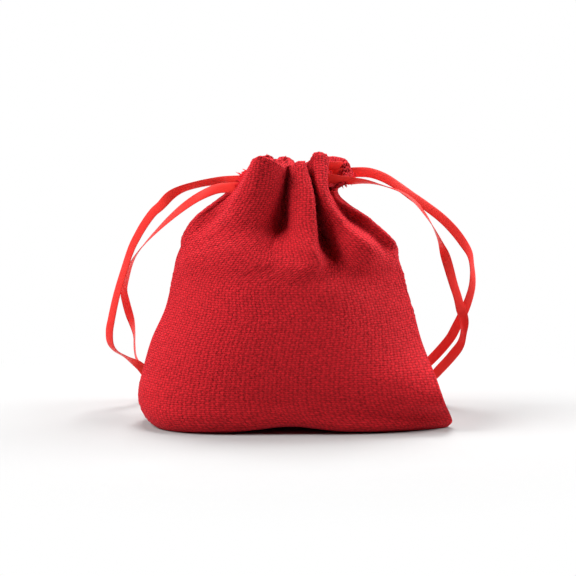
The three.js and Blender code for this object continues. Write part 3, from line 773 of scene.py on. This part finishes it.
def panel_sheet(cloth, front, draws):
    """One panel with its rim and hem as a grid of points, and each point's place on the weave."""
    place = np.linspace(0.0, PANEL_WIDTH, cloth.columns + 1)
    rows = np.linspace(0.0, RIM_ROW, cloth.rows + 1)
    outside = nubby(panel(front, place, rows), front, draws)
    turned = hem(outside, rows, front, cloth.rim_radius / MM)
    surface = np.concatenate([outside, turned])
    run = np.concatenate([rows, RIM_ROW + along(turned[:, cloth.columns // 2])])
    across = weave_place(surface, place, front) + (0.0 if front else BACK_WEAVE)
    return surface, np.stack([across, np.broadcast_to(run[:, None], across.shape)], axis=-1)


def loose_yarns(draws):
    """Short loose yarns along the cut edge of each casing end. A yarn runs straight out of the cloth from its
    root, bends aside with the square of the distance, and is round, thick at its root and closed at its
    tip."""
    rows = np.linspace(*FRAY_ROWS, FRAY_YARNS)
    edges = [panel(front, np.array(ends), rows) for front in (True, False) for ends in EDGE_PLACES]
    root = np.concatenate([edge[:, 1] for edge in edges])
    out = unit(np.concatenate([edge[:, 1] - edge[:, 0] for edge in edges]))
    aside = np.repeat(FRAY_ASIDE, FRAY_YARNS)
    out = unit(out + draws.normal(0.0, FRAY_STRAY, out.shape) + aside[:, None] * [1.0, 0.0, 0.0])
    length = draws.uniform(*FRAY_LENGTHS, len(root)) * np.repeat(FRAY_REACH, FRAY_YARNS)
    bend = draws.normal(0.0, FRAY_STRAY, out.shape)[:, None, None]
    t, radius = np.transpose(FRAY_PROFILE)[:, :, None, None]
    turn = np.linspace(0.0, 2 * math.pi, FRAY_SIDES, endpoint=False)[:, None]
    out = out[:, None, None]
    side = unit(np.cross(out, [0.3, 0.2, 0.9]))
    face = np.cross(out, side)
    middle = root[:, None, None] + length[:, None, None, None] * t * out + t * t * bend
    return middle + radius * (side * np.cos(turn) + face * np.sin(turn))


def fray_piece(cloth, material, draws):
    """One mesh of all the loose yarns, each laid on the crown of a yarn of the weave."""
    points = loose_yarns(draws)
    count, rings, around = points.shape[:3]
    faces = grid_faces(rings, around, round_columns=True)
    faces = (faces[None] + np.arange(count)[:, None, None] * rings * around).reshape(-1, 4)
    crown = np.array([0.5 * cloth.warp_pitch, 0.5 * cloth.weft_pitch]) / MM
    uv = np.broadcast_to(crown, (points.size // 3, 2))
    piece = mesh_piece("casing_fray", points.reshape(-1, 3), faces, material, CLOTH_UV, uv)
    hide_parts("pouch_body")
    return piece


class POUCH_OT_sack(Operator):
    """Builds the sack: a linen sheet folded at the bottom, sewn up the sides and gathered at the neck"""

    bl_idname = "pouch.sack"
    bl_label = "Linen sack"

    def execute(self, context):
        cloth = context.scene.pouch_cloth
        draws = np.random.default_rng(DRAW_SEED)
        front, front_uv = panel_sheet(cloth, True, draws)
        back, back_uv = panel_sheet(cloth, False, draws)
        points = np.concatenate([front.reshape(-1, 3), back.reshape(-1, 3)])
        uv = np.concatenate([front_uv.reshape(-1, 2), back_uv.reshape(-1, 2)])
        cells = grid_faces(*front.shape[:2])
        faces = np.concatenate([cells, cells[:, ::-1] + front.size // 3])
        linen = linen_finish(cloth)
        fray = fray_piece(cloth, linen, draws)
        piece = mesh_piece("linen_sack", points, faces, linen, CLOTH_UV, uv)
        solid = piece.modifiers.new("cloth", "SOLIDIFY")
        solid.thickness = cloth.thickness
        solid.offset = -1.0
        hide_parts("pouch_body")
        return {"FINISHED"}


# The ribbons

def tail_frame(tail):
    """A tail's points with the direction of its width at each: from lying flat to the picture, turned about
    the tail's own direction by its angle."""
    table = np.array(tail, float)
    points, turn = table[:, :3], np.radians(table[:, 3:])
    ahead = np.concatenate([points[1:2] - points[:1], points[2:] - points[:-2], points[-1:] - points[-2:-1]])
    direction = unit(ahead)
    back = np.array([0.0, 1.0, 0.0])
    flat = unit(np.cross(direction, back))
    deep = unit(back - direction * direction[:, 1:2])
    return points, np.cos(turn) * flat + np.sin(turn) * deep


def ribbon_strip(points, width, ribbon, bunched=0.0):
    """A ribbon carried along a smooth curve through points. Its section is a flat oval, a little curled, and
    its width follows the given directions. Where it is bunched it is narrower and thicker. Returns the curve,
    the rings of points and their places along and across the ribbon."""
    knots = np.concatenate([[0.0], np.cumsum(np.sqrt(np.diff(along(points))))])
    number = np.arange(len(knots))
    at = np.interp(np.linspace(0, number[-1], number[-1] * RIBBON_STEPS + 1), number, knots)
    line = through(knots, points, at)
    side = through(knots, width, at)
    bunch = np.interp(at, knots, np.broadcast_to(bunched, len(knots)))[:, None]
    direction = unit(np.gradient(line, axis=0))
    side = unit(side - direction * np.sum(side * direction, axis=1, keepdims=True))
    face = np.cross(direction, side)
    turn = np.linspace(0.0, 2 * math.pi, RIBBON_SIDES, endpoint=False)
    half_width, half_thick = ribbon.width / MM / 2, ribbon.thickness / MM / 2
    across = half_width * np.sign(np.cos(turn)) * np.abs(np.cos(turn)) ** RIBBON_SQUARENESS
    curl = RIBBON_CURL * (1 - bunch) * (across / half_width) ** 2
    thick = half_thick * np.sin(turn) * (1 + BUNCH_THICKER * bunch) - curl
    wide = (1 - BUNCH_NARROWER * bunch) * across
    ring = line[:, None] + side[:, None] * wide[..., None] + face[:, None] * thick[..., None]
    flat = np.stack(np.broadcast_arrays(along(line)[:, None], across[None, :]), axis=-1)
    return line, ring, flat


def knot_frame(middle, way):
    """An overhand knot with two free ends. Its path is a trefoil, x = sin t + 2 sin 2t, y = cos t - 2 cos 2t
    and z = -sin 3t, turned to point one lobe along x, cut open at that lobe and flattened, with a free end
    from each side of the cut. Returns the points, the directions of the width and how far it is bunched."""
    t = np.linspace(math.pi / 3 + KNOT_CUT, 7 * math.pi / 3 - KNOT_CUT, KNOT_POINTS)
    x, y, z = np.sin(t) + 2 * np.sin(2 * t), np.cos(t) - 2 * np.cos(2 * t), -np.sin(3 * t)
    lean = math.pi / 6
    x, y = x * math.cos(lean) + y * math.sin(lean), y * math.cos(lean) - x * math.sin(lean)
    loop = np.stack([x, y, z], axis=-1) * KNOT_SIZE
    reach = KNOT_REACH * np.array([1.0, 0.7, 0.45])
    end = np.stack([reach * math.cos(KNOT_SPLAY), reach * math.sin(KNOT_SPLAY), KNOT_END_HEIGHTS], axis=-1)
    points = np.concatenate([end, loop, end[::-1] * [1, -1, 1]])
    held = smooth(np.minimum(t - t[0], t[-1] - t) / KNOT_EASE)
    bunched = np.concatenate([[0.0, 0.0, 0.3], 0.5 + 0.5 * held, [0.3, 0.0, 0.0]])
    outward = np.concatenate([np.zeros((3, 3)), unit(loop) * held[:, None], np.zeros((3, 3))])
    outward[:, 2] += 1 - np.linalg.norm(outward, axis=1)
    points = points * [way, 1, 1] + np.array(middle)
    direction = unit(np.gradient(points, axis=0))
    return points, unit(np.cross(direction, outward * [way, 1, 1])), bunched


def ribbon_piece(name, node, material, ring, flat):
    """A closed piece of ribbon from rings of points, with thin faces drawn to the middle of each end, in
    place of a drawstring of the model."""
    ends = ring[[0, -1]].mean(axis=1, keepdims=True).repeat(ring.shape[1], axis=1)
    ring = np.concatenate([ends[:1], ring, ends[1:]])
    flat = np.concatenate([flat[:1], flat, flat[-1:]])
    faces = grid_faces(ring.shape[0], ring.shape[1], round_columns=True)
    uv = flat.reshape(-1, 2)
    piece = mesh_piece(name, ring.reshape(-1, 3), faces, material, RIBBON_UV, uv)
    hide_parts(node)
    return piece


class POUCH_OT_drawstrings(Operator):
    """Builds both drawstrings: the runs in the slits, two tails from each side, and the knots on the floor"""

    bl_idname = "pouch.drawstrings"
    bl_label = "Satin drawstrings"

    def execute(self, context):
        ribbon = context.scene.pouch_ribbon
        satin = satin_finish(ribbon)
        sides = [
            ("left", LEFT_BACK_TAIL, LEFT_FRONT_TAIL, LEFT_KNOT, 1, RIGHT_SLIT_RUN, RIGHT_SLIT_UP),
            ("right", RIGHT_BACK_TAIL, RIGHT_FRONT_TAIL, RIGHT_KNOT, -1, LEFT_SLIT_RUN, LEFT_SLIT_UP),
        ]
        for side, back_tail, front_tail, middle, way, slit_run, slit_up in sides:
            node = side + "_drawstring"
            run = np.array(slit_run)
            ring, flat = ribbon_strip(run, np.broadcast_to(slit_up, run.shape), ribbon)[1:]
            slit_piece = ribbon_piece(side + "_slit_run", node, satin, ring, flat)
            points, width, bunched = knot_frame(middle, way)
            ring, flat = ribbon_strip(points, width, ribbon, bunched)[1:]
            knot = ribbon_piece(side + "_knot", node, satin, ring, flat)
            tails = [("_back_tail", back_tail, [knot]), ("_front_tail", front_tail, [slit_piece])]
            for name, tail, others in tails:
                line, ring, flat = ribbon_strip(*tail_frame(tail), ribbon)
                piece = ribbon_piece(side + name, node, satin, ring, flat)
                line[0] * MM
                line * MM
        return {"FINISHED"}


# The stage

def aim_at(thing, place, target):
    """Puts a camera or lamp at a place and turns it to a target."""
    thing.location = place
    thing.rotation_euler = (Vector(target) - Vector(place)).to_track_quat("-Z", "Y").to_euler()


def add_camera(scene, stage):
    """A camera in front of the pouch, raised by its elevation, whose lens takes in the seen width."""
    camera = bpy.data.objects.new("camera", bpy.data.cameras.new("camera"))
    scene.collection.objects.link(camera)
    camera.data.sensor_width = 36.0
    camera.data.lens = camera.data.sensor_width * stage.distance / stage.seen_width
    back = Vector((0.0, -math.cos(stage.elevation), math.sin(stage.elevation)))
    aim = Vector(stage.aim)
    aim_at(camera, aim + back * stage.distance, aim)
    camera.data.clip_start = 0.01
    camera.data.clip_end = 20.0
    scene.camera = camera


def shown_rays(start):
    """1 for what the camera sees, directly or in gloss or glass, and 0 for the light that falls on things."""
    direct = start.node("LightPath", output="Is Camera Ray")
    gloss, glass = direct.other_output("Is Glossy Ray"), direct.other_output("Is Transmission Ray")
    return direct.largest(gloss.largest(glass))


def add_floor(scene, stage):
    """A wide flat floor, which is white to the camera where nothing shades it."""
    half = FLOOR_HALF
    corners = [(-half, -half, 0.0), (half, -half, 0.0), (half, half, 0.0), (-half, half, 0.0)]
    mesh = bpy.data.meshes.new("floor")
    mesh.from_pydata(corners, [], [(0, 1, 2, 3)])
    floor = bpy.data.objects.new("floor", mesh)
    scene.collection.objects.link(floor)
    material, shader, start = new_material("pale_floor")
    start.tree.nodes.remove(shader)
    shown = shown_rays(start)
    tone = shown.blend(stage.floor_bounce, stage.floor_white)
    shade = start.node("BsdfDiffuse", {"Color": start.node("CombineColor", {0: tone, 1: tone, 2: tone})})
    glow = start.node("Emission", {"Color": (1.0, 1.0, 1.0, 1.0), "Strength": 1.0})
    place = start.node("TexCoord", output="Object")
    far = start.node("VectorMath", {0: place}, output="Value", operation="LENGTH")
    both = start.node("MixShader", {0: far.ease(*FLOOR_FADE) * shown, 1: shade, 2: glow})
    start.tree.links.new(both.socket, start.tree.nodes["Material Output"].inputs["Surface"])
    mesh.materials.append(material)


def add_light(scene):
    """A surround that is white to the camera and gives little light, and large soft lamps."""
    world = bpy.data.worlds.new("surround")
    scene.world = world
    world.use_nodes = True
    ground = world.node_tree.nodes["Background"]
    shown = shown_rays(Wire(world.node_tree))
    feed(ground, Color=(1.0, 1.0, 1.0, 1.0), Strength=shown.blend(SURROUND_LIGHT, 1.0))
    for name, place, size, power in LAMPS:
        lamp = bpy.data.lights.new(name, "AREA")
        lamp.size = size
        lamp.energy = power
        light = bpy.data.objects.new(name, lamp)
        scene.collection.objects.link(light)
        aim_at(light, place, LAMP_AIM)


class POUCH_OT_stage(Operator):
    """Builds the pale floor, the soft light and the camera"""

    bl_idname = "pouch.stage"
    bl_label = "Stage"

    def execute(self, context):
        stage = context.scene.pouch_stage
        add_camera(context.scene, stage)
        add_floor(context.scene, stage)
        add_light(context.scene)
        context.scene.view_settings.view_transform = "Standard"
        return {"FINISHED"}


class POUCH_PT_panel(Panel):
    """Lists the pouch's operators and their sizes"""

    bl_idname = "POUCH_PT_panel"
    bl_label = "Drawstring pouch"
    bl_space_type = "VIEW_3D"
    bl_region_type = "UI"
    bl_category = "Pouch"

    def draw(self, context):
        groups = [
            (context.scene.pouch_stage, "pouch.stage"),
            (context.scene.pouch_ribbon, "pouch.drawstrings"),
            (context.scene.pouch_cloth, "pouch.sack"),
        ]
        for group, operator in groups:
            box = self.layout.box()
            for name in group.__annotations__:
                box.prop(group, name)
            box.operator(operator)


CLASSES = (
    PouchCloth, PouchRibbon, PouchStage,
    POUCH_OT_stage, POUCH_OT_drawstrings, POUCH_OT_sack, POUCH_PT_panel,
)
GROUPS = {"pouch_cloth": PouchCloth, "pouch_ribbon": PouchRibbon, "pouch_stage": PouchStage}


def register():
    for cls in CLASSES:
        bpy.utils.register_class(cls)
    for name, group in GROUPS.items():
        setattr(bpy.types.Scene, name, PointerProperty(type=group))


def unregister():
    for name in GROUPS:
        delattr(bpy.types.Scene, name)
    for cls in reversed(CLASSES):
        bpy.utils.unregister_class(cls)


def main():
    """Builds the whole scene."""
    register()
    bpy.ops.pouch.stage()
    bpy.ops.pouch.drawstrings()
    bpy.ops.pouch.sack()


if __name__ == "__main__":
    main()
